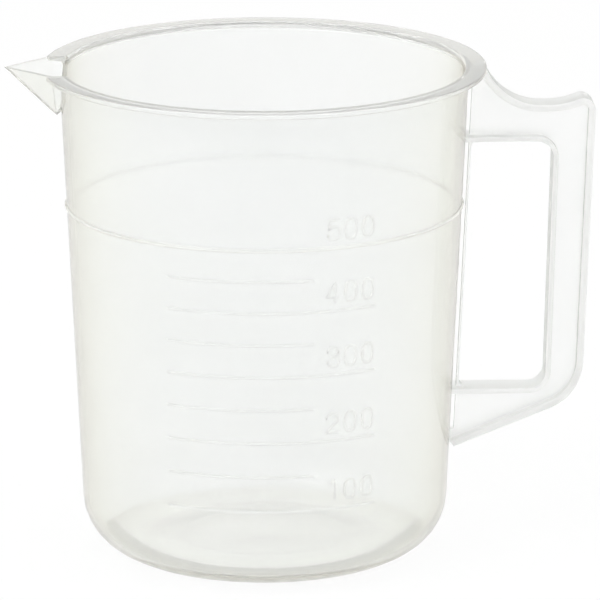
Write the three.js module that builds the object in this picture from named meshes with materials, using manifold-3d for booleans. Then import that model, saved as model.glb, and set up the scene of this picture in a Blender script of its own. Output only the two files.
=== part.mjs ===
// Handled measuring beaker in translucent plastic, as the named features of its moulding.
// Millimetres, +Z up. The origin is on the cup's axis, in the plane that the foot stands on.
// +X runs towards the handle, -X towards the spout, and the graduations face -Y.

import * as THREE from "three";
import { mergeVertices } from "three/addons/utils/BufferGeometryUtils.js";
import { ConvexGeometry } from "three/addons/geometries/ConvexGeometry.js";
import Module from "manifold-3d";

const wasm = await Module();
wasm.setup();

// Cup: a straight wall that widens upwards
const cupHeight = 118.5;
const wallThickness = 1.2;
const wallRadiusAtFoot = 43.4; // outer radius of the straight wall carried down to the foot plane
const wallRadiusAtTop = 48.7; // outer radius at the full height of the cup

// Base: a rounded heel round a floor that is pushed up in the middle
const heelRadius = 13.2;
const footWidth = 2.4; // flat ring that the cup stands on
const floorThickness = 3.8;
const recessDepth = 0.2; // from the foot plane up to the underside of the floor
const recessSlope = 7.4; // width of the slope from the foot up to the recess
const floorRingInset = 1.4; // from the slope in to the raised circle under the floor
const floorRingWidth = 0.8;
const floorRingHeight = 0.1;
const gateRadius = 3.4; // round boss under the middle of the floor
const gateHeight = 0.15;

// Rim: a flat flange that stands out from the top of the wall
const rimWidth = 4.1; // from the wall's outer radius at the top
const rimThickness = 1.6; // where it leaves the wall
const lipThickness = 1.1; // at its outer edge
const lipRound = 0.3;

// Spout: a beak of two flat facets on a straight keel
const spoutReach = 8.8; // from the rim's outer edge to the tip
const spoutHalfWidth = 11.7;
const spoutShoulder = 2.4; // the beak's root stands this far inside the rim's outer edge
const spoutDepth = 11.9; // from the rim's top down to the keel's lower end
const spoutKeelStandOff = 1.1; // the keel's lower end hooks this far off the wall
const spoutThroatDepth = 5.5; // from the rim's top down to where the beak closes inside the wall
const spoutThroatInset = 5.0; // from the wall's inner face to there
const spoutWall = 1.2;

// Handle: a web in the plane of the axis, with a flange round every edge
const handleWidth = 8.0;
const webThickness = 2.0;
const edgeFlange = 1.6;
const windowFlange = 1.2;
const rootThickness = 1.45; // of the rib that runs down beside the wall, with its rungs
const rootStandOff = 1.0; // between the wall and that rib, which rungs join at the flanges
const ribWidth = 2.6; // of that rib, across the handle
const handleReachTop = 26.1; // from the rim's outer edge to the handle's back, at the top
const handleReachBottom = 23.5; // the same at the lower corner
const handleEarRise = 3.1; // from the thumb rest up to the corner of the ear
const handleEarRound = 3.0;
const thumbDrop = 9.9; // from the rim's top down to the lowest part of the thumb rest
const thumbStart = 4.8; // from the rim's outer edge
const thumbEarGap = 7.8; // from the thumb rest's outer end to the corner of the ear
const thumbInnerRound = 14.6;
const thumbOuterRound = 22.0;
const thumbTopDrop = 0.6; // the thumb rest meets the rim this far under its top
const handleHeelHeight = 36.7; // the lower corner, above the foot plane
const handleHeelRound = 12.7;
const handleTipDrop = 12.4; // from that corner down to the tip on the wall
const handleTipStandOff = 1.0; // the handle's lower tip hooks this far off the wall
const windowThumbDrop = 8.8; // from the thumb rest down to the window
const windowHeelRise = 2.0; // from the lower corner up to the window
const gripWidthTop = 10.0; // from the window's far side to the handle's back
const gripWidthBottom = 8.9;
const windowFarRound = 4.0;
const windowRootRound = 2.2;

// Graduations, raised on the front of the wall
const fillRingDrop = 33.6; // from the rim's top down to the level of the full measure
const zeroLevel = 3.8; // level that the spacing of the lines starts from, a little under the floor
const measureFull = 500;
const measureFirst = 100;
const measureStep = 50;
const measureLabelled = 100; // each multiple of this has a long line and a numeral
const lineHalfSpan = 24.0; // the lines end this far to the left and right of the axis
const shortLineGap = 2.8; // the lines between them stop this far short of the numerals
const lineWidth = 0.6;
const lineHeight = 0.35;
const fillRingWidth = 0.7;
const fillRingProud = 0.55;
const digitHeight = 5.4;
const digitWidth = 3.5;
const digitSpace = 0.55; // between digits, measured straight across as the mould is cut
const digitStroke = 0.6;
const digitProud = 0.35;
const digitGap = 1.7; // from a line up to its numeral

// Clearances and facets
const markClearance = 0.03; // raised marks to the wall
const rootSeat = 0.06; // handle root to the wall
const jointGap = 0.3; // rim, spout and handle to each other
const sides = 72; // facets round the cup
const arcSteps = 6; // facets in a rounded corner
const cutMargin = 5.0; // how far a cutting solid runs past what it cuts
const weld = 1e-4; // corners closer than this are one

const markSeat = wallRadiusAtTop * (1 - Math.cos(Math.PI / sides)) + markClearance;

const up = Math.PI / 2; // turns a shape drawn in X and Y to stand in X and Z
const front = -Math.PI / 2; // direction of the graduations, seen from above

const rimRadius = wallRadiusAtTop + rimWidth;
const rimUnderside = cupHeight - rimThickness;
const fillRingHeight = cupHeight - fillRingDrop;
const wallSlope = (wallRadiusAtTop - wallRadiusAtFoot) / cupHeight;
const wallLean = Math.atan(wallSlope);
const wallRadius = (z) => wallRadiusAtFoot + wallSlope * z;
const footOuter = wallRadius(heelRadius) - heelRadius;
const footInner = footOuter - footWidth;
const recessRadius = footInner - recessSlope;
const floorRingRadius = recessRadius - floorRingInset;
const digitPitch = digitWidth + digitSpace;
const point = (x, y) => new THREE.Vector2(x, y);

// Plastic of the moulding, a little warmer where it is thick
function plastic(colour, roughness) {
  return new THREE.MeshStandardMaterial({ color: colour, roughness, metalness: 0 });
}
const cupPlastic = () => plastic(0xf2f4f1, 0.32);
const thickPlastic = () => plastic(0xe7e8e2, 0.34);
const handlePlastic = () => plastic(0xf6f8f6, 0.3);
const markPlastic = () => plastic(0xe2e5e0, 0.38);

function named(name, geometry, material) {
  const mesh = new THREE.Mesh(geometry, material);
  mesh.name = name;
  return mesh;
}

// Solids for joining and cutting
function toSolid(geometry) {
  const bare = geometry.index ? geometry.toNonIndexed() : geometry.clone();
  bare.deleteAttribute("normal");
  bare.deleteAttribute("uv");
  const merged = mergeVertices(bare, weld);
  const corners = merged.index.array;
  const kept = [];
  for (let i = 0; i < corners.length; i += 3) {
    const [a, b, c] = corners.slice(i, i + 3);
    if (a !== b && b !== c && c !== a) kept.push(a, b, c);
  }
  const vertProperties = Float32Array.from(merged.attributes.position.array);
  return new wasm.Manifold(
    new wasm.Mesh({ numProp: 3, vertProperties, triVerts: Uint32Array.from(kept) }),
  );
}

function toGeometry(solid) {
  const { vertProperties, triVerts } = solid.getMesh();
  const geometry = new THREE.BufferGeometry();
  geometry.setAttribute("position", new THREE.BufferAttribute(vertProperties, 3));
  geometry.setIndex(new THREE.BufferAttribute(triVerts, 1));
  geometry.computeVertexNormals();
  return geometry;
}

// Turned pieces: the profile is a list of radius and height
function turned(profile) {
  const lathe = new THREE.LatheGeometry(profile, sides);
  return lathe.rotateX(up);
}

function arcPoints(centreX, centreY, radius, from, to) {
  const points = [];
  for (let i = 0; i <= arcSteps; i += 1) {
    const angle = from + ((to - from) * i) / arcSteps;
    points.push(point(centreX + radius * Math.cos(angle), centreY + radius * Math.sin(angle)));
  }
  return points;
}

// Bar that follows the wall between two directions, seen from above
function arcBar(innerRadius, outerRadius, from, to, low, width) {
  const steps = Math.ceil(((to - from) * sides) / (2 * Math.PI) / 2);
  const shape = new THREE.Shape();
  shape.absarc(0, 0, outerRadius, from, to, false);
  shape.absarc(0, 0, innerRadius, to, from, true);
  const bar = new THREE.ExtrudeGeometry(shape, { depth: width, bevelEnabled: false, curveSegments: steps });
  return bar.translate(0, 0, low);
}

// Outlines with rounded corners: each corner is a place and the radius of its round
const corner = (x, y, round = 0) => ({ at: point(x, y), round });

function cornerReach(before, here, after) {
  const turn = here.at.clone().sub(before.at).angleTo(after.at.clone().sub(here.at));
  return here.round * Math.tan(turn / 2);
}

function roundCorners(corners) {
  const last = corners.length - 1;
  const reach = corners.map((here, i) => {
    if (i === 0 || i === last || here.round === 0) return 0;
    return cornerReach(corners[i - 1], here, corners[i + 1]);
  });
  const share = corners.map((here, i) => {
    const room = [i - 1, i]
      .filter((edge) => edge >= 0 && edge < last)
      .map((edge) => {
        const length = corners[edge].at.distanceTo(corners[edge + 1].at);
        return length / Math.max(length, reach[edge] + reach[edge + 1]);
      });
    return Math.min(...room);
  });
  return corners.flatMap((here, i) => {
    if (reach[i] === 0) return [here.at.clone()];
    const inward = here.at.clone().sub(corners[i - 1].at).normalize();
    const outward = corners[i + 1].at.clone().sub(here.at).normalize();
    const side = Math.sign(inward.cross(outward));
    const radius = here.round * share[i];
    const start = here.at.clone().addScaledVector(inward, -reach[i] * share[i]);
    const centre = point(start.x - side * radius * inward.y, start.y + side * radius * inward.x);
    const from = Math.atan2(start.y - centre.y, start.x - centre.x);
    return arcPoints(centre.x, centre.y, radius, from, from + side * inward.angleTo(outward));
  });
}

// Where two straight lines cross, each given by a point and a direction
function crossing(a, alongA, b, alongB) {
  const t = b.clone().sub(a).cross(alongB) / alongA.cross(alongB);
  return a.clone().addScaledVector(alongA, t);
}

// The same outline moved to the right of its direction of travel
function movedRight(corners, distance) {
  const edges = corners.slice(1).map((here, i) => {
    const along = here.at.clone().sub(corners[i].at).normalize();
    const shift = point(along.y, -along.x).multiplyScalar(distance);
    return { from: corners[i].at.clone().add(shift), along };
  });
  return corners.map((here, i) => {
    if (i === 0) return { at: edges[0].from, round: 0 };
    const before = edges[i - 1];
    if (i === edges.length) {
      const shift = point(before.along.y, -before.along.x).multiplyScalar(distance);
      return { at: here.at.clone().add(shift), round: 0 };
    }
    const turn = Math.sign(before.along.cross(edges[i].along));
    const round = here.round === 0 ? 0 : Math.max(here.round + turn * distance, 0);
    return { at: crossing(before.from, before.along, edges[i].from, edges[i].along), round };
  });
}

// Flat plate of an outline, centred on the plane that it is drawn in
function plate(points, width) {
  const outline = new THREE.Shape(points);
  const extruded = new THREE.ExtrudeGeometry(outline, { depth: width, bevelEnabled: false });
  return extruded.translate(0, 0, -width / 2);
}

// Cup wall, rim and base

// Base: the flat floor runs out to the rounded heel, which is thick over the foot
function cupBase() {
  const innerRound = heelRadius - wallThickness;
  const floorTop = recessDepth + floorThickness;
  const floorMeets = -Math.asin((heelRadius - floorTop) / innerRound);
  const profile = [
    point(0, recessDepth),
    point(recessRadius, recessDepth),
    point(footInner, 0),
    ...arcPoints(footOuter, heelRadius, heelRadius, front, 0),
    ...arcPoints(footOuter, heelRadius, innerRound, 0, floorMeets),
    point(0, floorTop),
  ];
  return turned(profile);
}

function cupWall(channel) {
  const profile = [
    point(wallRadius(heelRadius) - wallThickness, heelRadius),
    point(wallRadius(heelRadius), heelRadius),
    point(wallRadius(rimUnderside), rimUnderside),
    point(wallRadius(rimUnderside) - wallThickness, rimUnderside),
  ];
  profile.push(profile[0].clone());
  return toGeometry(toSolid(turned(profile)).subtract(channel));
}

function rimFlange(gateway) {
  const wallOuter = wallRadius(rimUnderside);
  const profile = [
    point(wallOuter - wallThickness, rimUnderside),
    point(wallOuter, rimUnderside),
    point(rimRadius - lipRound, cupHeight - lipThickness),
    point(rimRadius, cupHeight - lipThickness + lipRound),
    point(rimRadius, cupHeight - lipRound),
    point(rimRadius - lipRound, cupHeight),
    point(wallOuter - wallThickness, cupHeight),
  ];
  profile.push(profile[0].clone());
  return toGeometry(toSolid(turned(profile)).subtract(gateway));
}

function floorRing() {
  const half = floorRingWidth / 2;
  const profile = [
    point(floorRingRadius - half, recessDepth - floorRingHeight),
    point(floorRingRadius + half, recessDepth - floorRingHeight),
    point(floorRingRadius + half, recessDepth),
    point(floorRingRadius - half, recessDepth),
  ];
  profile.push(profile[0].clone());
  return turned(profile);
}

function gateBoss() {
  return turned([
    point(0, recessDepth - gateHeight),
    point(gateRadius, recessDepth - gateHeight),
    point(gateRadius, recessDepth),
    point(0, recessDepth),
  ]);
}

// Spout: the beak's hull, less the same hull raised, is a trough of even wall

function beakHull() {
  const tip = new THREE.Vector3(-(rimRadius + spoutReach), 0, cupHeight);
  const rootX = -(rimRadius - spoutShoulder);
  const keelLow = cupHeight - spoutDepth;
  const keelX = -(wallRadius(keelLow) + spoutKeelStandOff);
  const innerX = -(wallRadius(cupHeight) - wallThickness - spoutThroatInset);
  const keelEnd = new THREE.Vector3(keelX, 0, keelLow);
  const points = [tip, keelEnd, new THREE.Vector3(innerX, 0, cupHeight - spoutThroatDepth)];
  for (const side of [-1, 1]) {
    points.push(new THREE.Vector3(rootX, side * spoutHalfWidth, cupHeight));
    points.push(new THREE.Vector3(innerX, side * spoutHalfWidth, cupHeight));
  }
  return { hull: new ConvexGeometry(points), facet: [tip, keelEnd, points[3]] };
}

function beakChannel({ hull, facet }) {
  const plane = new THREE.Plane().setFromCoplanarPoints(...facet);
  return toSolid(hull.clone().translate(0, 0, spoutWall / Math.abs(plane.normal.z)));
}

function pourSpout(beak, channel) {
  const low = cupHeight - spoutDepth - cutMargin;
  const high = cupHeight + cutMargin;
  const cup = turned([
    point(0, low),
    point(wallRadius(low) + jointGap, low),
    point(wallRadius(high) + jointGap, high),
    point(0, high),
  ]);
  return toGeometry(toSolid(beak.hull).subtract(channel).subtract(toSolid(cup)));
}

// Gap in the rim that the spout stands in
function rimGateway() {
  const width = 2 * (spoutHalfWidth + jointGap);
  const depth = 2 * (rimThickness + cutMargin);
  const box = new THREE.BoxGeometry(rimRadius, width, depth);
  return toSolid(box.translate(-(rimRadius / 2 + cutMargin), 0, cupHeight));
}

// Handle, drawn in the plane of the axis

const thumbHeight = cupHeight - thumbDrop;
const handleTipHeight = handleHeelHeight - handleTipDrop;
const rootFace = (z) => point(wallRadius(z) + rootSeat + rootThickness, z);
const rootBack = (z) => point(wallRadius(z) + rootSeat, z);
const ribBack = (z) => point(wallRadius(z) + rootSeat + rootStandOff, z);
const rootAlong = rootFace(1).sub(rootFace(0));
const rootTop = rimUnderside - jointGap;
const windowTop = thumbHeight - windowThumbDrop;
const windowLow = handleHeelHeight + windowHeelRise;

// Ends of an outline, moved along its first and last edges to the root strip's face
function endsOnRoot(corners) {
  const ends = corners.slice();
  const last = corners.length - 1;
  const meet = (here, next) => crossing(here.at, next.at.clone().sub(here.at), rootFace(0), rootAlong);
  ends[0] = { at: meet(corners[0], corners[1]), round: 0 };
  ends[last] = { at: meet(corners[last], corners[last - 1]), round: 0 };
  return ends;
}

function handleOutlines() {
  const earX = rimRadius + handleReachTop;
  const outer = [
    corner(rimRadius + jointGap, cupHeight - thumbTopDrop),
    corner(rimRadius + thumbStart, thumbHeight, thumbInnerRound),
    corner(earX - thumbEarGap, thumbHeight, thumbOuterRound),
    corner(earX, thumbHeight + handleEarRise, handleEarRound),
    corner(rimRadius + handleReachBottom, handleHeelHeight, handleHeelRound),
    corner(wallRadius(handleTipHeight) + handleTipStandOff, handleTipHeight),
  ];
  const moved = movedRight(outer, edgeFlange);
  const inner = endsOnRoot(moved);
  const startAlong = moved[1].at.clone().sub(moved[0].at);
  inner[0] = { at: crossing(moved[0].at, startAlong, outer[0].at, point(0, 1)), round: 0 };
  return { outer: roundCorners(outer), inner: roundCorners(inner) };
}

function windowOutlines() {
  const clear = [
    { at: rootFace(windowTop), round: 0 },
    corner(rimRadius + handleReachTop - gripWidthTop, windowTop, windowFarRound),
    corner(rimRadius + handleReachBottom - gripWidthBottom, windowLow, windowFarRound),
    { at: rootFace(windowLow), round: 0 },
  ];
  const middle = { at: rootFace((windowTop + windowLow) / 2), round: 0 };
  const rooted = clear.map(({ at, round }) => ({ at, round: round || windowRootRound }));
  return {
    frame: roundCorners(endsOnRoot(movedRight(clear, -windowFlange))),
    opening: roundCorners([middle, ...rooted, middle]).slice(1, -1),
  };
}

// Root strip: a slim rib that stands off the wall, with a wide rung to the wall at each flange
function rootStrip(low) {
  const rungs = [
    [windowTop, windowTop + windowFlange],
    [windowLow - windowFlange, windowLow],
    [low, low + edgeFlange],
  ];
  const across = (back, [from, to]) => [rootFace(from), rootFace(to), back(to), back(from)];
  const rib = plate(across(ribBack, [low, rootTop]), ribWidth);
  const wide = rungs.map((ends) => plate(across(rootBack, ends), handleWidth));
  return toGeometry([rib, ...wide].map(toSolid).reduce((joined, rung) => joined.add(rung)));
}

function handlePlates() {
  const { outer, inner } = handleOutlines();
  const { frame, opening } = windowOutlines();
  const tipEnd = inner.at(-1);
  const edge = [...outer, rootBack(tipEnd.y), ...inner.toReversed()];
  const web = [rootFace(rootTop), point(inner[0].x, rootTop), ...inner, ...frame.toReversed()];
  return [
    named("handle_edge_flange", plate(edge, handleWidth), handlePlastic()),
    named("handle_web", plate(web, webThickness), handlePlastic()),
    named("handle_window_flange", plate([...frame, ...opening.toReversed()], handleWidth), handlePlastic()),
    named("handle_root_strip", rootStrip(tipEnd.y), handlePlastic()),
  ];
}

// Graduations: each line divides the volume under the full measure

function levelOf(measure) {
  const innerRadius = (z) => wallRadius(z) - wallThickness;
  const empty = innerRadius(zeroLevel) ** 3;
  const full = innerRadius(fillRingHeight) ** 3;
  const cube = empty + (measure / measureFull) * (full - empty);
  return (Math.cbrt(cube) - innerRadius(0)) / wallSlope;
}

// Direction in which a point of the wall lies, from how far it is across the front
const facing = (across, z) => Math.asin(across / wallRadius(z));

const digitsOf = (measure) => [...String(measure)];

function lineEnd(measure) {
  if (measure % measureLabelled === 0) return lineHalfSpan;
  const numeralWidth = digitWidth + digitPitch * (digitsOf(measure).length - 1);
  return lineHalfSpan - numeralWidth - shortLineGap;
}

function graduationLine(measure) {
  const level = levelOf(measure);
  const low = level - lineWidth / 2;
  const inner = wallRadius(low + lineWidth) + markSeat;
  const from = front + facing(-lineHalfSpan, level);
  const to = front + facing(lineEnd(measure), level);
  return arcBar(inner, inner + lineHeight, from, to, low, lineWidth);
}

function fillRing() {
  const low = fillRingHeight - fillRingWidth / 2;
  const inner = wallRadius(low + fillRingWidth) + markSeat;
  const handleHalf = Math.asin((handleWidth / 2 + jointGap) / inner);
  return arcBar(inner, inner + fillRingProud, handleHalf, 2 * Math.PI - handleHalf, low, fillRingWidth);
}

// Centre lines of the numerals' strokes, in shares of the digit's width and height
const digitStrokes = {
  0: [
    [[0.6, 1], [0, 1, 0.5], [0, 0, 0.5], [0.6, 0]],
    [[0.4, 1], [1, 1, 0.5], [1, 0, 0.5], [0.4, 0]],
  ],
  1: [[[0.3, 0.8], [0.6, 1], [0.6, -0.06]]],
  2: [[[0, 0.72], [0, 1, 0.5], [1, 1, 0.5], [1, 0.55, 0.3], [0, 0], [1, 0]]],
  3: [
    [[0, 0.78], [0, 1, 0.5], [1, 1, 0.5], [1, 0.53, 0.34], [0.35, 0.53]],
    [[0.35, 0.53], [1, 0.53, 0.4], [1, 0, 0.5], [0, 0, 0.5], [0, 0.22]],
  ],
  4: [
    [[0.72, 1.06], [0, 0.28], [1, 0.28]],
    [[0.72, 1.06], [0.72, -0.06]],
  ],
  5: [
    [[0.92, 1], [0.12, 1], [0.03, 0.46]],
    [[0.03, 0.5], [0.3, 0.64, 0.4], [1, 0.64, 0.45], [1, 0, 0.5], [0, 0, 0.5], [0, 0.2]],
  ],
  6: [
    [[1, 0.8], [1, 1, 0.5], [0, 1, 0.5], [0, 0, 0.5], [0.6, 0]],
    [[0.4, 0], [1, 0, 0.5], [1, 0.58, 0.5], [0, 0.58, 0.5], [0, 0.36]],
  ],
  7: [[[0, 1], [1, 1], [0.35, -0.06]]],
  8: [
    [[0.6, 1], [0, 1, 0.5], [0, 0.53, 0.34], [0.6, 0.53]],
    [[0.4, 1], [1, 1, 0.5], [1, 0.53, 0.34], [0.4, 0.53]],
    [[0.6, 0.53], [0, 0.53, 0.4], [0, 0, 0.5], [0.6, 0]],
    [[0.4, 0.53], [1, 0.53, 0.4], [1, 0, 0.5], [0.4, 0]],
  ],
  9: [
    [[0, 0.2], [0, 0, 0.5], [1, 0, 0.5], [1, 1, 0.5], [0.4, 1]],
    [[0.6, 1], [0, 1, 0.5], [0, 0.42, 0.5], [1, 0.42, 0.5], [1, 0.64]],
  ],
};

function digitSolid(digit) {
  const wide = digitWidth - digitStroke;
  const tall = digitHeight - digitStroke;
  const strokes = digitStrokes[digit].map((stroke) => {
    const line = stroke.map(([x, y, round = 0]) => {
      return corner((x - 0.5) * wide, y * tall + digitStroke / 2, round * wide);
    });
    const right = roundCorners(movedRight(line, digitStroke / 2));
    const left = roundCorners(movedRight(line, -digitStroke / 2));
    return toSolid(plate([...right, ...left.toReversed()], digitProud));
  });
  return toGeometry(strokes.reduce((joined, stroke) => joined.add(stroke)));
}

// One numeral, each digit standing flat on its own facing of the wall
function numeral(measure) {
  const group = new THREE.Group();
  const digits = digitsOf(measure);
  const low = levelOf(measure) + digitGap;
  digits.forEach((digit, place) => {
    const fromRight = digits.length - 1 - place;
    const turn = new THREE.Group();
    turn.rotation.z = facing(lineHalfSpan - digitWidth / 2 - digitPitch * fromRight, low);
    const mesh = named(`numeral_${measure}_${place + 1}`, digitSolid(digit), markPlastic());
    mesh.position.set(0, -(wallRadius(low) + markSeat + digitProud / 2), low);
    mesh.rotation.x = up + wallLean;
    turn.add(mesh);
    group.add(turn);
  });
  return group;
}

function cup() {
  const group = new THREE.Group();
  const beak = beakHull();
  const channel = beakChannel(beak);
  group.add(named("cup_base", cupBase(), thickPlastic()));
  group.add(named("base_floor_ring", floorRing(), thickPlastic()));
  group.add(named("base_gate_boss", gateBoss(), thickPlastic()));
  group.add(named("cup_wall", cupWall(channel), cupPlastic()));
  group.add(named("rim_flange", rimFlange(rimGateway()), thickPlastic()));
  group.add(named("pour_spout", pourSpout(beak, channel), cupPlastic()));
  return group;
}

function handle() {
  const group = new THREE.Group();
  group.rotation.x = up;
  group.add(...handlePlates());
  return group;
}

function graduations() {
  const group = new THREE.Group();
  for (let measure = measureFirst; measure < measureFull; measure += measureStep) {
    group.add(named(`line_${measure}`, graduationLine(measure), markPlastic()));
  }
  group.add(named(`fill_ring_${measureFull}`, fillRing(), markPlastic()));
  for (let measure = measureFirst; measure <= measureFull; measure += measureLabelled) {
    group.add(numeral(measure));
  }
  return group;
}

const beaker = new THREE.Group();
beaker.add(cup(), handle(), graduations());
export default beaker;
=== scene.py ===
import math

import bpy
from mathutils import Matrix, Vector


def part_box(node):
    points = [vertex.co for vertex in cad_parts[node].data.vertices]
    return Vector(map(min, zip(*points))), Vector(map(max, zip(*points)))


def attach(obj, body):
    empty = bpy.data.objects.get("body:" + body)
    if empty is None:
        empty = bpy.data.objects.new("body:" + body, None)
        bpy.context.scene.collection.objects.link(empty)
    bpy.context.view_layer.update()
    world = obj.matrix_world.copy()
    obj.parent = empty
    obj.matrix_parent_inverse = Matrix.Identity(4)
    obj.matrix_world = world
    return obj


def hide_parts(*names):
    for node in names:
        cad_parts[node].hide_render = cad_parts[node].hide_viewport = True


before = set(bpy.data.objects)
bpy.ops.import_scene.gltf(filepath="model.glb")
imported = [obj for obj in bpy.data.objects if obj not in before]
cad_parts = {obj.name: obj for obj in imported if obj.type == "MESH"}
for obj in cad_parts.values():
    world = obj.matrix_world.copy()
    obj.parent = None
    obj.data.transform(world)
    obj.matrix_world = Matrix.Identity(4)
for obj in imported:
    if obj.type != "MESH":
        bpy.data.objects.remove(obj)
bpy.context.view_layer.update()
mm = 0.001
mergeReach = 0.001 * mm  # points closer than this are one
leastRound = 0.1 * mm
quarterSteps = 4  # insets in a quarter round

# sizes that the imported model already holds
rimLow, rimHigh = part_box("rim_flange")
wallLow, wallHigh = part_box("cup_wall")
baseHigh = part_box("cup_base")[1]
spoutLow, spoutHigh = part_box("pour_spout")
cupHeight = rimHigh.z
rimRadius = rimHigh.y
rimUnderside = rimLow.z
heelHeight = wallLow.z
wallSlope = (wallHigh.y - baseHigh.y) / (rimUnderside - heelHeight)


def wallRadius(z):
    return baseHigh.y + wallSlope * (z - heelHeight)


# small helpers for modelling by operators

def clearSelection():
    if bpy.context.mode != "OBJECT":
        bpy.ops.object.mode_set(mode="OBJECT")
    bpy.ops.object.select_all(action="DESELECT")


def pick(piece):
    clearSelection()
    piece.select_set(True)
    bpy.context.view_layer.objects.active = piece


def selectAll():
    bpy.ops.mesh.select_all(action="SELECT")


def startAtPoint(name, place):
    # a speck of a plane, merged to one point that the outline is drawn from
    clearSelection()
    bpy.ops.mesh.primitive_plane_add(size=mm, location=(0, 0, 0))
    piece = bpy.context.object
    piece.name = name
    piece.data.name = name
    bpy.ops.object.mode_set(mode="EDIT")
    selectAll()
    bpy.ops.mesh.merge(type="CENTER")
    bpy.ops.transform.translate(value=Vector(place))
    return piece


def drawOn(places):
    for here, there in zip(places, places[1:]):
        step = Vector(there) - Vector(here)
        bpy.ops.mesh.extrude_region_move(TRANSFORM_OT_translate={"value": step})


def tidyMesh():
    selectAll()
    bpy.ops.mesh.remove_doubles(threshold=mergeReach)
    bpy.ops.mesh.normals_make_consistent(inside=False)


def spun(name, profile, steps):
    # profile of radius and height, turned once round the cup's axis
    places = [(r, 0, z) for r, z in profile]
    piece = startAtPoint(name, places[0])
    drawOn(places)
    selectAll()
    bpy.ops.mesh.spin(steps=steps, angle=math.tau, center=(0, 0, 0), axis=(0, 0, 1))
    tidyMesh()
    bpy.ops.object.mode_set(mode="OBJECT")
    return piece


def slab(name, outline, start, end):
    # outline of x and z, filled and pulled across the handle's plane, left in edit mode
    places = [(x, start, z) for x, z in outline]
    piece = startAtPoint(name, places[0])
    drawOn(places)
    selectAll()
    bpy.ops.mesh.edge_face_add()
    selectAll()
    bpy.ops.mesh.extrude_region_move(TRANSFORM_OT_translate={"value": (0, end - start, 0)})
    tidyMesh()
    return piece


def selectCap(piece, y):
    bpy.ops.mesh.select_mode(type="FACE")
    bpy.ops.mesh.select_all(action="DESELECT")
    bpy.ops.object.mode_set(mode="OBJECT")
    spots = piece.data.vertices
    for face in piece.data.polygons:
        face.select = all(abs(spots[i].co.y - y) < mergeReach for i in face.vertices)
    bpy.ops.object.mode_set(mode="EDIT")


def roundCap(radius, end, way, steps=quarterSteps):
    # a quarter round in insets, which run inwards first at a tool's mouth and along first at a closed end
    turns = [math.pi / 2 / quarterSteps * i for i in range(steps + 1)]
    for a, b in zip(turns, turns[1:]):
        slow, fast = radius * (math.cos(a) - math.cos(b)), radius * (math.sin(b) - math.sin(a))
        inwards, along = (fast, slow) if end == "mouth" else (slow, fast)
        bpy.ops.mesh.inset(thickness=inwards, depth=0, use_even_offset=True)
        bpy.ops.transform.translate(value=(0, way * along, 0))


def closeTool():
    bpy.ops.mesh.select_mode(type="VERT")
    tidyMesh()
    bpy.ops.object.mode_set(mode="OBJECT")


def useTool(piece, tool, operation):
    pick(piece)
    bpy.ops.object.modifier_add(type="BOOLEAN")
    step = piece.modifiers[-1]
    step.operation = operation
    step.solver = "MANIFOLD"
    step.object = tool
    bpy.ops.object.modifier_apply(modifier=step.name)
    bpy.data.objects.remove(tool)


def smooth(piece, degrees):
    pick(piece)
    bpy.ops.object.shade_smooth_by_angle(angle=math.radians(degrees))


def arc(centre, radius, start, end, steps):
    turn = (end - start) / steps
    angles = [start + turn * i for i in range(steps + 1)]
    return [(centre[0] + radius * math.cos(a), centre[1] + radius * math.sin(a)) for a in angles]


def rounded(corners, steps):
    # corners of (across, up, round), drawn as straights and arcs
    path = []
    for i, (across, up, *size) in enumerate(corners):
        here = Vector((across, up))
        if not size or i in (0, len(corners) - 1):
            path.append((here.x, here.y))
            continue
        inward = (here - Vector(corners[i - 1][:2])).normalized()
        outward = (Vector(corners[i + 1][:2]) - here).normalized()
        turn = inward.angle_signed(outward)
        side = 1 if inward.cross(outward) > 0 else -1
        reach = size[0] * math.tan(abs(turn) / 2)
        start = here - inward * reach
        centre = start + side * size[0] * Vector((-inward.y, inward.x))
        first = math.atan2(start.y - centre.y, start.x - centre.x)
        path += arc(centre, size[0], first, first + side * abs(turn), steps)
    return path


def crossing(a, alongA, b, alongB):
    return a + alongA * ((b - a).cross(alongB) / alongA.cross(alongB))


def movedRight(corners, distance):
    # the same outline, moved to the right of its direction of travel
    points = [Vector(c[:2]) for c in corners]
    along = [(b - a).normalized() for a, b in zip(points, points[1:])]
    shifted = [p + distance * Vector((d.y, -d.x)) for p, d in zip(points, along)]
    moved = [tuple(shifted[0])]
    for i in range(1, len(along)):
        place = crossing(shifted[i - 1], along[i - 1], shifted[i], along[i])
        side = 1 if along[i - 1].cross(along[i]) > 0 else -1
        size = [max(c + side * distance, leastRound) for c in corners[i][2:]]
        moved.append((place.x, place.y, *size))
    last = points[-1] + distance * Vector((along[-1].y, -along[-1].x))
    return moved + [tuple(last)]


# camera at the photograph's viewing angle
cameraFacts = dict(
    lens=322.1,
    place=(-49.9 * mm, -1242.3 * mm, 399.1 * mm),
    aim=(8.5 * mm, -0.34 * mm, 60.5 * mm),
    farClip=20,
)


def makeCamera():
    bpy.ops.object.camera_add(location=cameraFacts["place"])
    camera = bpy.context.object
    camera.name = "photo_camera"
    look = Vector(cameraFacts["aim"]) - Vector(cameraFacts["place"])
    camera.rotation_euler = look.to_track_quat("-Z", "Y").to_euler()
    camera.data.lens = cameraFacts["lens"]
    camera.data.clip_end = cameraFacts["farClip"]
    bpy.context.scene.camera = camera


clearSelection()
makeCamera()
print("camera ready")


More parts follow.
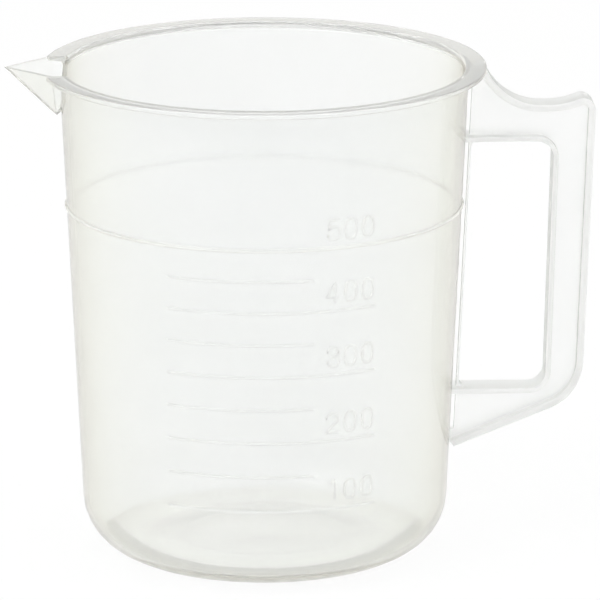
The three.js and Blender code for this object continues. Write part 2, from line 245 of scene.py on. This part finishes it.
# cup: one turned wall from the middle of the underside, over the rim, to the middle of the floor
cupShape = dict(
    turns=240,
    wall=1.2 * mm,
    heelRound=13.2 * mm,
    heelSteps=14,
    footWidth=2.4 * mm,
    floor=3.8 * mm,
    recess=0.2 * mm,
    recessSlope=7.4 * mm,
    recessRound=20 * mm,
    floorRound=1.2 * mm,
    gateRadius=3.4 * mm,
    gateHeight=0.12 * mm,
    ringRadius=19.6 * mm,
    ringWidth=0.9 * mm,
    ringHeight=0.06 * mm,
    smallRound=0.15 * mm,
    flangeRound=0.9 * mm,
    lip=1.2 * mm,
    lipRound=0.4 * mm,
    mouthRound=1.1 * mm,
    roundSteps=8,
    smoothDegrees=28,
)


def cupProfile():
    c = cupShape
    wall, recess, small = c["wall"], c["recess"], c["smallRound"]
    footOuter = wallRadius(c["heelRound"]) - c["heelRound"]
    footInner = footOuter - c["footWidth"]
    recessRadius = footInner - c["recessSlope"]
    gate, boss = c["gateRadius"], recess - c["gateHeight"]
    ringIn, ringOut = c["ringRadius"] - c["ringWidth"] / 2, c["ringRadius"] + c["ringWidth"] / 2
    ringLow = recess - c["ringHeight"]
    lean = 2 * small
    under = [
        (0, boss),
        (gate - lean, boss, small),
        (gate, recess, small),
        (ringIn - lean, recess, small),
        (ringIn, ringLow, small),
        (ringOut, ringLow, small),
        (ringOut + lean, recess, small),
        (recessRadius, recess, c["recessRound"]),
        (footInner, 0, c["recessRound"]),
        (wallRadius(0), 0, c["heelRound"]),
    ]
    rim = [
        (wallRadius(rimUnderside), rimUnderside, c["flangeRound"]),
        (rimRadius, cupHeight - c["lip"], c["lipRound"]),
        (rimRadius, cupHeight, c["lipRound"]),
        (wallRadius(cupHeight) - wall, cupHeight, c["mouthRound"]),
    ]
    floorTop = recess + c["floor"]
    heel, inner = c["heelRound"], c["heelRound"] - wall
    floorMeets = -math.asin((heel - floorTop) / inner)
    heelArc = arc((footOuter, heel), inner, 0, floorMeets, c["heelSteps"])
    # the flat floor runs out to the rounded heel and meets it in a soft crease
    crease = (*heelArc[-1], c["floorRound"])
    inside = [(wallRadius(heel) - wall, heel), *heelArc[1:-1], crease, (0, floorTop)]
    return rounded(under + rim + inside, c["roundSteps"])


cup = spun("cup_moulding", cupProfile(), cupShape["turns"])
print("cup turned,", len(cup.data.polygons), "faces")


# spout: a beak of two flat facets on a straight keel, hollowed by the same beak raised
spoutShape = dict(
    shoulder=2.4 * mm,
    keelStandOff=1.1 * mm,
    throatDepth=5.5 * mm,
    throatInset=5.0 * mm,
    rise=1.2 * mm,
    flangeLap=0.5 * mm,
    margin=4.0 * mm,
)


def beak(name, rise):
    s = spoutShape
    half, keelLow = spoutHigh.y, spoutLow.z
    rootX = -(rimRadius - s["shoulder"])
    innerX = -(wallRadius(cupHeight) - cupShape["wall"] - s["throatInset"])
    corners = [
        (spoutLow.x, 0, cupHeight),
        (-(wallRadius(keelLow) + s["keelStandOff"]), 0, keelLow),
        (innerX, 0, cupHeight - s["throatDepth"]),
    ]
    corners += [(x, side * half, cupHeight) for side in (-1, 1) for x in (rootX, innerX)]
    lifted = [(x, y, z + rise) for x, y, z in corners]
    piece = startAtPoint(name, lifted[0])
    drawOn(lifted)
    selectAll()
    bpy.ops.mesh.convex_hull()
    tidyMesh()
    bpy.ops.object.mode_set(mode="OBJECT")
    return piece


def cupInside(name):
    # solid of the space in the cup, from under the spout to over the rim
    low, high = spoutLow.z - spoutShape["margin"], cupHeight + spoutShape["margin"]
    inner = [(wallRadius(z) - cupShape["wall"] / 2, z) for z in (low, high)]
    return spun(name, [(0, low), *inner, (0, high)], cupShape["turns"])


def rimGateway(name):
    s = spoutShape
    wide = 2 * (spoutHigh.y - s["flangeLap"])
    tall = cupHeight - rimUnderside + s["margin"]
    clearSelection()
    bpy.ops.mesh.primitive_cube_add(size=1, location=(0, 0, 0))
    piece = bpy.context.object
    piece.name = name
    bpy.ops.object.mode_set(mode="EDIT")
    selectAll()
    bpy.ops.transform.resize(value=(rimRadius, wide, tall))
    bpy.ops.transform.translate(value=(-rimRadius / 2 - s["margin"], 0, rimUnderside + tall / 2))
    bpy.ops.object.mode_set(mode="OBJECT")
    return piece


useTool(cup, rimGateway("gateway_tool"), "DIFFERENCE")
spoutBlock = beak("spout_block", 0)
useTool(spoutBlock, cupInside("inside_tool"), "DIFFERENCE")
useTool(cup, spoutBlock, "UNION")
useTool(cup, beak("channel_tool", spoutShape["rise"]), "DIFFERENCE")
smooth(cup, cupShape["smoothDegrees"])
print("spout joined,", len(cup.data.polygons), "faces")


# handle: a plate with a window, and a pocket on each side that leaves a web and its flanges
# its root rib stands off the wall, and only the flanges reach the wall
handleShape = dict(
    width=8.0 * mm,
    web=2.0 * mm,
    edge=1.6 * mm,
    windowEdge=1.2 * mm,
    root=1.5 * mm,
    rootStandOff=1.05 * mm,
    rootSink=0.4 * mm,
    ribWidth=2.6 * mm,
    reachTop=26.1 * mm,
    reachBottom=23.5 * mm,
    earRise=3.1 * mm,
    earRound=3.0 * mm,
    thumbDrop=9.9 * mm,
    thumbStart=4.8 * mm,
    thumbEarGap=7.8 * mm,
    thumbInnerRound=14.6 * mm,
    thumbOuterRound=19.5 * mm,
    thumbTopDrop=0.6 * mm,
    heelHeight=36.7 * mm,
    heelRound=12.7 * mm,
    tipDrop=12.4 * mm,
    tipStandOff=1.0 * mm,
    windowThumbDrop=8.8 * mm,
    windowHeelRise=2.0 * mm,
    gripTop=10.0 * mm,
    gripBottom=8.9 * mm,
    windowFarRound=4.0 * mm,
    windowRootRound=2.0 * mm,
    slotRound=0.4 * mm,
    softEdge=0.45 * mm,
    softFloor=0.5 * mm,
    rimLap=0.1 * mm,
    pocketLap=0.5 * mm,
    toolClear=0.01 * mm,
    arcSteps=20,
    slotSteps=4,
)


def beside(z, distance):
    return wallRadius(z) + distance, z


def roundedPlate(name, outline, width, radius):
    straight = width / 2 - radius
    piece = slab(name, outline, -straight, straight)
    for way in (-1, 1):
        selectCap(piece, way * straight)
        roundCap(radius, "closed", way)
    closeTool()
    return piece


def sideTool(name, corners, depth, radius, side, floorRadius=0):
    # a cut from one side of the handle, which rounds the edge it enters by and the edge of its floor
    mouth = -handleShape["width"] / 2 - handleShape["toolClear"]  # just outside, so no faces share a plane
    flared = rounded(movedRight(corners, -radius), handleShape["arcSteps"])[:-1]
    piece = slab(name, flared, mouth - radius, mouth)
    selectCap(piece, mouth)
    straight = depth - radius - floorRadius
    roundCap(radius, "mouth", 1, quarterSteps if straight > 0 else quarterSteps - 1)
    if straight > 0:
        bpy.ops.mesh.extrude_region_move(TRANSFORM_OT_translate={"value": (0, straight, 0)})
    if floorRadius:
        roundCap(floorRadius, "closed", 1)
    bpy.ops.mesh.select_mode(type="VERT")
    selectAll()
    bpy.ops.transform.resize(value=(1, -side, 1), center_override=(0, 0, 0))
    closeTool()
    return piece


def slotTool(name, ends, reach, near, far):
    # a strip along the wall, from inside the wall to its reach
    low, high = ends
    deep = -2 * handleShape["rootSink"]
    size = handleShape["slotRound"]
    corners = [(*beside(low, reach), size), (*beside(high, reach), size)]
    strip = [beside(low, deep), *corners, beside(high, deep)]
    piece = slab(name, rounded(strip, handleShape["slotSteps"]), near, far)
    closeTool()
    return piece


def makeHandle():
    h = handleShape
    thumb = cupHeight - h["thumbDrop"]
    earX = rimRadius + h["reachTop"]
    heelX = rimRadius + h["reachBottom"]
    tipZ = h["heelHeight"] - h["tipDrop"]
    startX = rimRadius - h["rootSink"]
    topEnd = rimUnderside + h["rimLap"]
    outer = [
        (startX, cupHeight - h["thumbTopDrop"]),
        (rimRadius + h["thumbStart"], thumb, h["thumbInnerRound"]),
        (earX - h["thumbEarGap"], thumb, h["thumbOuterRound"]),
        (earX, thumb + h["earRise"], h["earRound"]),
        (heelX, h["heelHeight"], h["heelRound"]),
        beside(tipZ, h["tipStandOff"]),
    ]
    inner = movedRight(outer, h["edge"])
    rootLine = Vector(beside(0, h["root"])), Vector((wallSlope, 1))
    lowEnd = crossing(Vector(inner[-1]), Vector(inner[-1]) - Vector(inner[-2][:2]), *rootLine)
    sunk = [beside(z, -h["rootSink"]) for z in (lowEnd.y, topEnd)]
    body = rounded(outer, h["arcSteps"]) + [*sunk, (startX, topEnd)]

    top = thumb - h["windowThumbDrop"]
    low = h["heelHeight"] + h["windowHeelRise"]
    clear = [
        (*beside(top, h["root"]), h["windowRootRound"]),
        (earX - h["gripTop"], top, h["windowFarRound"]),
        (heelX - h["gripBottom"], low, h["windowFarRound"]),
        (*beside(low, h["root"]), h["windowRootRound"]),
    ]
    middle = beside((top + low) / 2, h["root"])
    window = [middle, *clear, middle]

    deep = -2 * h["rootSink"]
    windowFrame = movedRight(clear, -h["windowEdge"])
    frameTop, frameLow = windowFrame[0][1], windowFrame[-1][1]
    pocketTop = rimUnderside + h["pocketLap"]
    startUp = Vector(inner[1][:2]) - Vector(inner[0][:2])
    innerStart = crossing(Vector(inner[0]), startUp, Vector((0, pocketTop)), Vector((1, 0)))
    innerEnd = Vector(inner[-1]) - Vector(inner[-2][:2])
    wallTop = beside(pocketTop, deep)
    middleTop = ((wallTop[0] + innerStart.x) / 2, pocketTop)
    pocket = [
        middleTop,
        tuple(innerStart),
        *inner[1:-1],
        tuple(crossing(Vector(inner[-1]), innerEnd, Vector(beside(0, deep)), rootLine[1])),
        beside(frameLow, deep),
        *reversed(windowFrame[1:-1]),
        beside(frameTop, deep),
        wallTop,
        middleTop,
    ]

    width, edge, fillet = h["width"], h["softEdge"], h["softFloor"]
    handle = roundedPlate("handle_moulding", body, width, edge)
    for side, depth in ((-1, 2 * width), (1, edge)):
        useTool(handle, sideTool("window_tool", window, depth, edge, side), "DIFFERENCE")
    pocketDepth = (width - h["web"]) / 2
    for side in (-1, 1):
        useTool(handle, sideTool("pocket_tool", pocket, pocketDepth, edge, side, fillet), "DIFFERENCE")
    for ends in ((lowEnd.y + h["edge"], frameLow), (low, top), (frameTop, cupHeight)):
        useTool(handle, slotTool("slot_tool", ends, h["rootStandOff"], -width, width), "DIFFERENCE")
    for side in (-1, 1):
        near, far = sorted((side * h["ribWidth"] / 2, side * width))
        useTool(handle, slotTool("rib_tool", (low, top), 2 * h["root"], near, far), "DIFFERENCE")
    return handle


handle = makeHandle()
pick(handle)
bpy.ops.object.shade_flat()  # long thin faces of the cuts would shade badly if smooth
print("handle cut,", len(handle.data.polygons), "faces")


# graduations: low beads turned over part of the wall
# each mark lies a hair off the wall, because light bends wrongly where two clear solids overlap
hairGap = 0.015 * mm
markSmoothDegrees = 40
lineShape = dict(width=0.75 * mm, proud=0.12 * mm, steps=6, stepDegrees=1.5)
ringShape = dict(width=0.95 * mm, proud=0.4 * mm, steps=8)


def beadProfile(shape, height):
    half, steps = shape["width"] / 2, shape["steps"]
    shares = [2 * i / steps - 1 for i in range(steps + 1)]
    crown = [(shape["proud"] * math.cos(s * math.pi / 2) ** 2, s * half) for s in shares]
    crown = [(hairGap, -half), *[(2 * hairGap + out, up) for out, up in crown], (hairGap, half)]
    return [(wallRadius(height + up) + out, height + up) for out, up in crown]


def frontAngle(x, radius):
    return math.asin(x / radius) - math.pi / 2


def makeLine(node):
    low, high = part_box(node)
    height = (low.z + high.z) / 2
    radius = wallRadius(height) + lineShape["proud"]
    start, end = frontAngle(low.x, radius), frontAngle(high.x, radius)
    profile = [(r * math.cos(start), r * math.sin(start), z) for r, z in beadProfile(lineShape, height)]
    piece = startAtPoint("grad_" + node, profile[0])
    drawOn(profile)
    selectAll()
    bpy.ops.mesh.edge_face_add()
    selectAll()
    steps = round(math.degrees(end - start) / lineShape["stepDegrees"])
    # spin turns clockwise here
    bpy.ops.mesh.spin(steps=steps, angle=start - end, center=(0, 0, 0), axis=(0, 0, 1))
    tidyMesh()
    bpy.ops.object.mode_set(mode="OBJECT")
    smooth(piece, markSmoothDegrees)
    return piece


def makeFillRing(node):
    low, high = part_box(node)
    profile = beadProfile(ringShape, (low.z + high.z) / 2)
    piece = spun("grad_" + node, profile + profile[:1], cupShape["turns"])
    smooth(piece, markSmoothDegrees)
    return piece


# numerals: round strokes laid along the wall, in shares of a digit's width and height
digitShape = dict(
    width=3.5 * mm,
    height=5.4 * mm,
    stroke=0.62 * mm,
    flatness=0.55,
    squareness=2.4,
    ovalSteps=28,
    cornerSteps=6,
    bevelSteps=2,
    closePoints=0.02 * mm,
)
digitStrokes = {
    "1": [[(0.25, 0.8), (0.6, 1), (0.6, 0)]],
    "2": [[(0, 0.72), (0, 1, 0.5), (1, 1, 0.5), (1, 0.6, 0.34), (0, 0, 0.02), (1, 0)]],
    "3": [
        [(0, 0.8), (0, 1, 0.48), (0.96, 1, 0.48), (0.96, 0.55, 0.36), (0.4, 0.55)],
        [(0.45, 0.52), (1, 0.52, 0.44), (1, 0, 0.44), (0, 0, 0.48), (0, 0.2)],
    ],
    "4": [[(0.7, 0.97), (0, 0.26, 0.02), (1, 0.26)], [(0.72, 1.02), (0.72, -0.02)]],
    "5": [[(0.95, 1), (0.2, 1, 0.02), (0.06, 0.5, 0.02), (0.4, 0.66, 0.4), (1, 0.66, 0.4),
           (1, 0, 0.48), (0, 0, 0.48), (0, 0.16)]],
}


def digitPaths(figure):
    d = digitShape
    wide, tall = d["width"] - d["stroke"], d["height"] - d["stroke"]
    if figure == "0":
        power = 2 / d["squareness"]
        turns = [math.tau * i / d["ovalSteps"] for i in range(d["ovalSteps"] + 1)]
        oval = [(math.copysign(abs(math.cos(t)) ** power, math.cos(t)),
                 math.copysign(abs(math.sin(t)) ** power, math.sin(t))) for t in turns]
        return [[(wide * (1 + a) / 2, tall * (1 + b) / 2) for a, b in oval]]
    drawn = [[(a * wide, b * tall, *[r * wide for r in size]) for a, b, *size in stroke]
             for stroke in digitStrokes[figure]]
    return [rounded(stroke, d["cornerSteps"]) for stroke in drawn]


def strokeTube(name, places):
    piece = startAtPoint(name, places[0])
    drawOn(places)
    selectAll()
    bpy.ops.mesh.remove_doubles(threshold=digitShape["closePoints"])
    bpy.ops.object.mode_set(mode="OBJECT")
    bpy.ops.object.convert(target="CURVE")
    piece = bpy.context.object
    piece.data.bevel_depth = digitShape["stroke"] / 2
    piece.data.bevel_resolution = digitShape["bevelSteps"]
    piece.data.use_fill_caps = True
    bpy.ops.object.convert(target="MESH")
    piece = bpy.context.object
    bpy.ops.object.mode_set(mode="EDIT")
    tidyMesh()
    bpy.ops.object.mode_set(mode="OBJECT")
    return piece


def layFlat(piece):
    # round strokes become low crowns with a flat back along the wall
    for spot in piece.data.vertices:
        x, y, z = spot.co
        out = max(0, math.hypot(x, y) - wallRadius(z)) * digitShape["flatness"]
        grow = (wallRadius(z) + hairGap + out) / math.hypot(x, y)
        spot.co = x * grow, y * grow, z


def makeDigit(node):
    word, place = node.split("_")[1:]
    low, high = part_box(node)
    paths = digitPaths(word[int(place) - 1])
    across = [a for path in paths for a, b in path]
    middle = (min(across) + max(across)) / 2
    middleX = (low.x + high.x) / 2
    foot = (low.z + high.z - digitShape["height"] + digitShape["stroke"]) / 2
    tubes = []
    for path in paths:
        laid = []
        for a, b in path:
            radius = wallRadius(foot + b)
            angle = frontAngle(middleX, radius) + (a - middle) / radius
            laid.append((radius * math.cos(angle), radius * math.sin(angle), foot + b))
        tubes.append(strokeTube("grad_" + node, laid))
    piece = tubes[0]
    for tube in tubes[1:]:
        useTool(piece, tube, "UNION")
    piece.name = "grad_" + node
    piece.data.name = piece.name
    layFlat(piece)
    smooth(piece, markSmoothDegrees)
    return piece


marks = {}
for node in sorted(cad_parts):
    if node.startswith("line_"):
        marks[node] = makeLine(node)
    elif node.startswith("numeral_"):
        marks[node] = makeDigit(node)
    elif node.startswith("fill_ring_"):
        marks[node] = makeFillRing(node)
print("graduations laid,", len(marks), "pieces")


# finishes: one plastic, cloudier or clearer by how thick it stands, with painted shade along the outlines
# and on the rim top
flowFacts = dict(
    cloudDetail=3,
    cloudLow=0.32,
    cloudHigh=0.68,
    drawStretch=(1, 1, 0.04),
    drawScale=700,
    drawDetail=2,
    drawShare=0.3,
    peelScale=260,
    peelDetail=1,
)


def addGroup(name, inputs, outputs):
    group = bpy.data.node_groups.new(name, "ShaderNodeTree")
    for label, kind in inputs:
        group.interface.new_socket(label, in_out="INPUT", socket_type=kind)
    for label, kind in outputs:
        group.interface.new_socket(label, in_out="OUTPUT", socket_type=kind)
    return group, group.nodes.new("NodeGroupInput"), group.nodes.new("NodeGroupOutput")


def addNode(tree, kind, **settings):
    node = tree.nodes.new(kind)
    for label, value in settings.items():
        setattr(node, label, value)
    return node


def flowMarks():
    # slow clouds in the melt, fine draw lines up the wall and a trace of orange peel
    group, fed, out = addGroup(
        "melt_flow",
        [
            ("Clear Colour", "NodeSocketColor"),
            ("Cloud Colour", "NodeSocketColor"),
            ("Cloud Scale", "NodeSocketFloat"),
            ("Rough Low", "NodeSocketFloat"),
            ("Rough High", "NodeSocketFloat"),
        ],
        [("Colour", "NodeSocketColor"), ("Roughness", "NodeSocketFloat"), ("Height", "NodeSocketFloat")],
    )
    link = group.links.new
    place = addNode(group, "ShaderNodeTexCoord")
    clouds = addNode(group, "ShaderNodeTexNoise")
    clouds.inputs["Detail"].default_value = flowFacts["cloudDetail"]
    link(place.outputs["Object"], clouds.inputs["Vector"])
    link(fed.outputs["Cloud Scale"], clouds.inputs["Scale"])
    spread = addNode(group, "ShaderNodeMapRange", interpolation_type="SMOOTHSTEP")
    spread.inputs["From Min"].default_value = flowFacts["cloudLow"]
    spread.inputs["From Max"].default_value = flowFacts["cloudHigh"]
    link(clouds.outputs["Fac"], spread.inputs["Value"])
    tint = addNode(group, "ShaderNodeMix", data_type="RGBA")
    link(spread.outputs["Result"], tint.inputs["Factor"])
    link(fed.outputs["Clear Colour"], tint.inputs["A"])
    link(fed.outputs["Cloud Colour"], tint.inputs["B"])
    link(tint.outputs["Result"], out.inputs["Colour"])

    stretch = addNode(group, "ShaderNodeMapping")
    stretch.inputs["Scale"].default_value = flowFacts["drawStretch"]
    link(place.outputs["Object"], stretch.inputs["Vector"])
    draw = addNode(group, "ShaderNodeTexNoise")
    draw.inputs["Scale"].default_value = flowFacts["drawScale"]
    draw.inputs["Detail"].default_value = flowFacts["drawDetail"]
    link(stretch.outputs["Vector"], draw.inputs["Vector"])
    rough = addNode(group, "ShaderNodeMapRange")
    link(spread.outputs["Result"], rough.inputs["Value"])
    link(fed.outputs["Rough Low"], rough.inputs["To Min"])
    link(fed.outputs["Rough High"], rough.inputs["To Max"])
    link(rough.outputs["Result"], out.inputs["Roughness"])

    peel = addNode(group, "ShaderNodeTexNoise")
    peel.inputs["Scale"].default_value = flowFacts["peelScale"]
    peel.inputs["Detail"].default_value = flowFacts["peelDetail"]
    link(place.outputs["Object"], peel.inputs["Vector"])
    both = addNode(group, "ShaderNodeMath", operation="MULTIPLY_ADD")
    both.inputs[1].default_value = flowFacts["drawShare"]
    link(draw.outputs["Fac"], both.inputs[0])
    link(peel.outputs["Fac"], both.inputs[2])
    link(both.outputs["Value"], out.inputs["Height"])
    return group


flowGroup = flowMarks()

plasticFinish = dict(
    refraction=1.49,
    throughShare=0.8,  # the rest scatters at the surface as a milky veil
    peelDepth=0.02 * mm,
    peelStrength=0.15,
    absorbTint=(0.75, 0.74, 0.69, 1),
)


def tintBySlant(tree, colour, power, tint):
    # seen along the wall, the colour is multiplied towards a tint: a warm tint stands for the plastic seen
    # deeper, and a dark one is painted shade along the outlines
    link = tree.links.new
    slant = addNode(tree, "ShaderNodeLayerWeight")
    bend = addNode(tree, "ShaderNodeMath", operation="POWER")
    bend.inputs[1].default_value = power
    link(slant.outputs["Facing"], bend.inputs[0])
    mix = addNode(tree, "ShaderNodeMix", data_type="RGBA", blend_type="MULTIPLY")
    mix.inputs["B"].default_value = (*tint, 1)
    link(bend.outputs["Value"], mix.inputs["Factor"])
    link(colour, mix.inputs["A"])
    return mix.outputs["Result"]


def milkyPlastic(name, finish):
    material = bpy.data.materials.new(name)
    material.use_nodes = True
    tree = material.node_tree
    link = tree.links.new
    shader = tree.nodes["Principled BSDF"]
    flow = addNode(tree, "ShaderNodeGroup", node_tree=flowGroup)
    flow.inputs["Clear Colour"].default_value = (*finish["clear"], 1)
    flow.inputs["Cloud Colour"].default_value = (*finish["cloud"], 1)
    flow.inputs["Cloud Scale"].default_value = finish["scale"]
    flow.inputs["Rough Low"].default_value = finish["rough"][0]
    flow.inputs["Rough High"].default_value = finish["rough"][1]
    peel = addNode(tree, "ShaderNodeBump")
    peel.inputs["Strength"].default_value = plasticFinish["peelStrength"]
    peel.inputs["Distance"].default_value = plasticFinish["peelDepth"]
    link(flow.outputs["Height"], peel.inputs["Height"])
    tinted = flow.outputs["Colour"]
    for power, tint in finish["edges"]:
        tinted = tintBySlant(tree, tinted, power, tint)
    link(tinted, shader.inputs["Base Color"])
    link(flow.outputs["Roughness"], shader.inputs["Roughness"])
    link(peel.outputs["Normal"], shader.inputs["Normal"])
    shader.inputs["IOR"].default_value = plasticFinish["refraction"]
    shader.inputs["Transmission Weight"].default_value = plasticFinish["throughShare"]
    depth = addNode(tree, "ShaderNodeVolumeAbsorption")
    depth.inputs["Color"].default_value = plasticFinish["absorbTint"]
    depth.inputs["Density"].default_value = finish["absorb"]
    link(depth.outputs["Volume"], tree.nodes["Material Output"].inputs["Volume"])
    return material


# each edge tint is a power of the slant and the colour that it tends to; the warm terms stand for the
# plastic seen deeper, and the near-black cup term, also used on the marks, is painted shade along the
# outlines
cupEdgeTintAndShade = ((2, (0.982, 0.965, 0.82)), (6, (0.1, 0.04, 0)))
cupFinish = dict(
    clear=(0.99, 0.997, 0.998),
    cloud=(0.982, 0.99, 0.988),
    scale=30,
    rough=(0.07, 0.1),
    absorb=6,
    edges=cupEdgeTintAndShade,
)
handleFinish = dict(
    clear=(0.996, 1.0, 0.999),
    cloud=(0.988, 0.993, 0.99),
    scale=45,
    rough=(0.29, 0.33),
    absorb=24,
    # the grey term is painted shade along the handle's outlines
    edges=((2, (1, 1, 0.98)), (5, (0.3, 0.32, 0.28))),
)
markFinish = dict(
    clear=(0.99, 0.997, 0.996),
    cloud=(0.98, 0.987, 0.982),
    scale=120,
    rough=(0.07, 0.1),
    absorb=36,
    edges=cupEdgeTintAndShade,
)
# the rim's upward top faces get a copy of the plastic a little darker in colour and without the dark
# outline term: painted shade on the rim top, kept apart from the cup's
rimTopShadedFinish = dict(
    clear=(0.98, 0.987, 0.986),
    cloud=(0.973, 0.98, 0.979),
    scale=60,
    rough=(0.07, 0.1),
    absorb=6,
    edges=((2, (1, 1, 0.98)),),
)
cupPlastic = milkyPlastic("milky_cup_plastic", cupFinish)
handlePlastic = milkyPlastic("milky_handle_plastic", handleFinish)
markPlastic = milkyPlastic("raised_mark_plastic", markFinish)
rimTopShadedPlastic = milkyPlastic("rim_top_painted_shade_plastic", rimTopShadedFinish)
shadedRimTop = dict(depth=0.3 * mm, level=0.8)


def isShadedRimTop(face):
    return face.center.z > cupHeight - shadedRimTop["depth"] and face.normal.z > shadedRimTop["level"]


def dress(piece, material, slot, *nodes):
    piece.data.materials.clear()
    piece.data.materials.append(material)
    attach(piece, "root")
    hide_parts(*nodes)


dress(cup, cupPlastic, "cup_plastic", "cup_base", "cup_wall", "rim_flange", "pour_spout",
      "base_floor_ring", "base_gate_boss")
cup.data.materials.append(rimTopShadedPlastic)
# upward faces at the top of the rim take the darker copy: painted shade on the rim top
for face in cup.data.polygons:
    face.material_index = 1 if isShadedRimTop(face) else 0
print("rim top,", sum(face.material_index for face in cup.data.polygons), "faces")
dress(handle, handlePlastic, "handle_plastic", "handle_edge_flange", "handle_web",
      "handle_window_flange", "handle_root_strip")
for node, piece in marks.items():
    dress(piece, markPlastic, "raised_marks", node)
print("finishes on")


# stage: pale floor, white surroundings, soft lamps
stageFacts = dict(
    floorSize=8.0,
    floorDrop=0.05 * mm,
    floorCuts=3,
    floorColour=(0.985, 0.985, 0.98, 1),
    floorRough=0.9,
    floorGloss=0.1,
    floorWhite=0.86,
    floorGlow=0.6,
    ambient=0.96,
    zenith=0.85,
    fallStart=0.35,
    fallEnd=0.95,
    bounces=64,
)


def seenDirectly(tree):
    # 1 for rays that come straight from the camera or through gloss and glass
    path = addNode(tree, "ShaderNodeLightPath")
    total = None
    for label in ("Is Camera Ray", "Is Glossy Ray", "Is Transmission Ray"):
        if total is None:
            total = path.outputs[label]
            continue
        both = addNode(tree, "ShaderNodeMath", operation="MAXIMUM")
        tree.links.new(total, both.inputs[0])
        tree.links.new(path.outputs[label], both.inputs[1])
        total = both.outputs["Value"]
    return total


def makeFloor():
    clearSelection()
    bpy.ops.mesh.primitive_plane_add(size=stageFacts["floorSize"], location=(0, 0, 0))
    floor = bpy.context.object
    floor.name = "pale_floor"
    bpy.ops.object.mode_set(mode="EDIT")
    selectAll()
    bpy.ops.transform.translate(value=(0, 0, -stageFacts["floorDrop"]))
    bpy.ops.mesh.subdivide(number_cuts=stageFacts["floorCuts"])
    bpy.ops.object.mode_set(mode="OBJECT")
    material = bpy.data.materials.new("pale_floor_paper")
    material.use_nodes = True
    tree = material.node_tree
    link = tree.links.new
    paper = tree.nodes["Principled BSDF"]
    paper.inputs["Base Color"].default_value = stageFacts["floorColour"]
    paper.inputs["Roughness"].default_value = stageFacts["floorRough"]
    paper.inputs["Specular IOR Level"].default_value = stageFacts["floorGloss"]
    white = addNode(tree, "ShaderNodeEmission")
    share = addNode(tree, "ShaderNodeMath", operation="MULTIPLY")
    share.inputs[1].default_value = stageFacts["floorWhite"]
    link(seenDirectly(tree), share.inputs[0])
    least = addNode(tree, "ShaderNodeMath", operation="MAXIMUM")
    least.inputs[1].default_value = stageFacts["floorGlow"]  # lights the underside too
    link(share.outputs["Value"], least.inputs[0])
    mixed = addNode(tree, "ShaderNodeMixShader")
    link(least.outputs["Value"], mixed.inputs["Fac"])
    link(paper.outputs["BSDF"], mixed.inputs[1])
    link(white.outputs["Emission"], mixed.inputs[2])
    link(mixed.outputs["Shader"], tree.nodes["Material Output"].inputs["Surface"])
    floor.data.materials.append(material)


def makeWorld():
    world = bpy.data.worlds.new("white_room")
    bpy.context.scene.world = world
    world.use_nodes = True
    tree = world.node_tree
    link = tree.links.new
    sky = tree.nodes["Background"]
    sky.inputs["Color"].default_value = (1, 1, 1, 1)
    level = addNode(tree, "ShaderNodeMapRange")
    level.inputs["To Min"].default_value = stageFacts["ambient"]
    level.inputs["To Max"].default_value = 1
    link(seenDirectly(tree), level.inputs["Value"])
    place = addNode(tree, "ShaderNodeTexCoord")
    parts = addNode(tree, "ShaderNodeSeparateXYZ")
    link(place.outputs["Generated"], parts.inputs["Vector"])
    fall = addNode(tree, "ShaderNodeMapRange", interpolation_type="SMOOTHSTEP")
    fall.inputs["From Min"].default_value = stageFacts["fallStart"]
    fall.inputs["From Max"].default_value = stageFacts["fallEnd"]
    fall.inputs["To Min"].default_value = 1
    fall.inputs["To Max"].default_value = stageFacts["zenith"]
    link(parts.outputs["Z"], fall.inputs["Value"])
    strength = addNode(tree, "ShaderNodeMath", operation="MULTIPLY")
    link(level.outputs["Result"], strength.inputs[0])
    link(fall.outputs["Result"], strength.inputs[1])
    link(strength.outputs["Value"], sky.inputs["Strength"])


lampFacts = {
    "left_softbox": dict(place=(-0.75, -0.55, 1.1), size=0.8, power=4),
    "right_softbox": dict(place=(0.9, -0.3, 1.2), size=0.8, power=2),
}


def makeLamps():
    for name, facts in lampFacts.items():
        clearSelection()
        bpy.ops.object.light_add(type="AREA", location=facts["place"])
        lamp = bpy.context.object
        lamp.name = name
        lamp.data.size = facts["size"]
        lamp.data.energy = facts["power"]
        look = Vector((0, 0, cupHeight / 2)) - Vector(facts["place"])
        lamp.rotation_euler = look.to_track_quat("-Z", "Y").to_euler()


makeFloor()
makeWorld()
makeLamps()
bpy.context.scene.view_settings.view_transform = "Standard"
for kind in ("max_bounces", "glossy_bounces", "transmission_bounces", "diffuse_bounces"):
    setattr(bpy.context.scene.cycles, kind, stageFacts["bounces"])  # light runs far along clear walls
bpy.context.scene.cycles.blur_glossy = 0
print("stage set")
